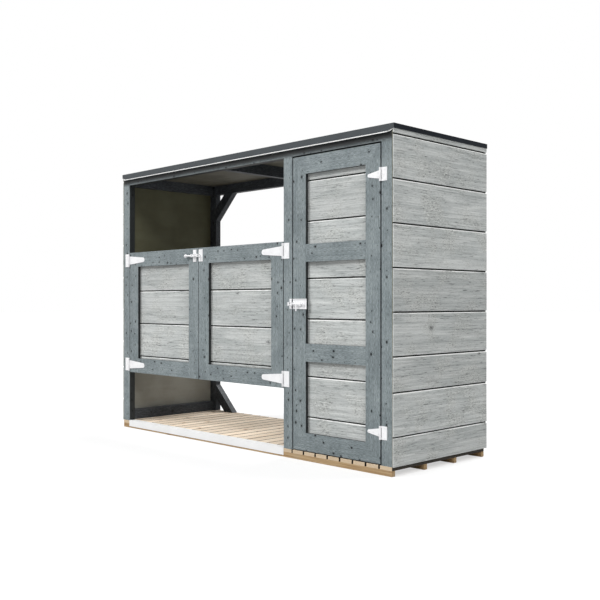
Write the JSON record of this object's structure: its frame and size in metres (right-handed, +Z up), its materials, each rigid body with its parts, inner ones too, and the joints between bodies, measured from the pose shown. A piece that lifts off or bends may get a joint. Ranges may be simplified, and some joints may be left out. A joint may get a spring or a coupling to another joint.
{
  "type": "bin store",
  "caption": "Timber bin store: an open-backed double bay with half-height doors beside a full-height cupboard, under one flat roof on a slatted base.",
  "frame": {"origin": "on the ground under the middle of the whole store, fittings included", "axes": "+X to the right seen from the door side, +Y to the back, +Z up"},
  "size_m": [2.49, 0.868, 1.797],
  "materials": {
    "painted_frame": "satin blue-grey stain on knotty softwood",
    "cladding_board": "light grey brushed-grain board",
    "natural_timber": "untreated planed softwood",
    "roof_board": "plain sheet board",
    "roof_felt": "matt roofing sheet",
    "roof_trim_metal": "satin anthracite coating",
    "aluminium_strip": "satin, nearly white",
    "white_hardware": "white powder coat"
  },
  "bodies": {
    "store": {"bay_bearers": "natural_timber", "cupboard_bearers": "natural_timber", "bay_floor_slats": "natural_timber", "cupboard_floor_slats": "natural_timber", "threshold_strip": "aluminium_strip", "front_posts": "painted_frame", "rear_posts": "painted_frame", "front_top_rail": "painted_frame", "rear_top_rail": "painted_frame", "side_top_rails": "painted_frame", "side_bottom_rails": "painted_frame", "cupboard_rear_rail": "painted_frame", "bay_rafter": "painted_frame", "rear_upper_braces": "painted_frame", "rear_lower_braces": "painted_frame", "left_end_wall": "cladding_board", "right_end_wall": "cladding_board", "partition_wall": "cladding_board", "cupboard_rear_wall": "cladding_board", "roof_deck": "roof_board", "roof_covering": "roof_felt", "front_roof_trim": "roof_trim_metal", "rear_roof_trim": "roof_trim_metal", "side_roof_trims": "roof_trim_metal", "front_drip_strip": "aluminium_strip", "left_bay_hinge_plates": "white_hardware", "right_bay_hinge_plates": "white_hardware", "cupboard_hinge_plates": "white_hardware", "cupboard_bolt_keeper": "white_hardware"},
    "left_bay_door": {"left_bay_door_stiles": "painted_frame", "left_bay_door_rails": "painted_frame", "left_bay_door_panel": "cladding_board", "left_bay_door_straps": "white_hardware", "bay_latch_guides": "white_hardware"},
    "right_bay_door": {"right_bay_door_stiles": "painted_frame", "right_bay_door_rails": "painted_frame", "right_bay_door_panel": "cladding_board", "right_bay_door_straps": "white_hardware", "bay_latch_keeper": "white_hardware"},
    "cupboard_door": {"cupboard_door_stiles": "painted_frame", "cupboard_door_rails": "painted_frame", "cupboard_door_panel": "cladding_board", "cupboard_door_straps": "white_hardware", "cupboard_bolt_plate": "white_hardware"},
    "bay_latch_bolt": {"bay_latch_bolt": "white_hardware"},
    "cupboard_bolt": {"cupboard_bolt": "white_hardware"}
  },
  "joints": [
    {"name": "left_bay_door_hinge", "type": "hinge", "parent": "store", "child": "left_bay_door", "pos_m": [-1.157, -0.414, 0.815], "axis": [0, 0, -1], "range_deg": [0, 175]},
    {"name": "right_bay_door_hinge", "type": "hinge", "parent": "store", "child": "right_bay_door", "pos_m": [0.427, -0.414, 0.815], "axis": [0, 0, 1], "range_deg": [0, 160]},
    {"name": "cupboard_door_hinge", "type": "hinge", "parent": "store", "child": "cupboard_door", "pos_m": [1.156, -0.414, 0.88], "axis": [0, 0, 1], "range_deg": [0, 175]},
    {"name": "bay_latch_slide", "type": "slide", "parent": "left_bay_door", "child": "bay_latch_bolt", "axis": [1, 0, 0], "range_m": [0, 0.025]},
    {"name": "cupboard_bolt_slide", "type": "slide", "parent": "cupboard_door", "child": "cupboard_bolt", "axis": [-1, 0, 0], "range_m": [0, 0.025]}
  ]
}
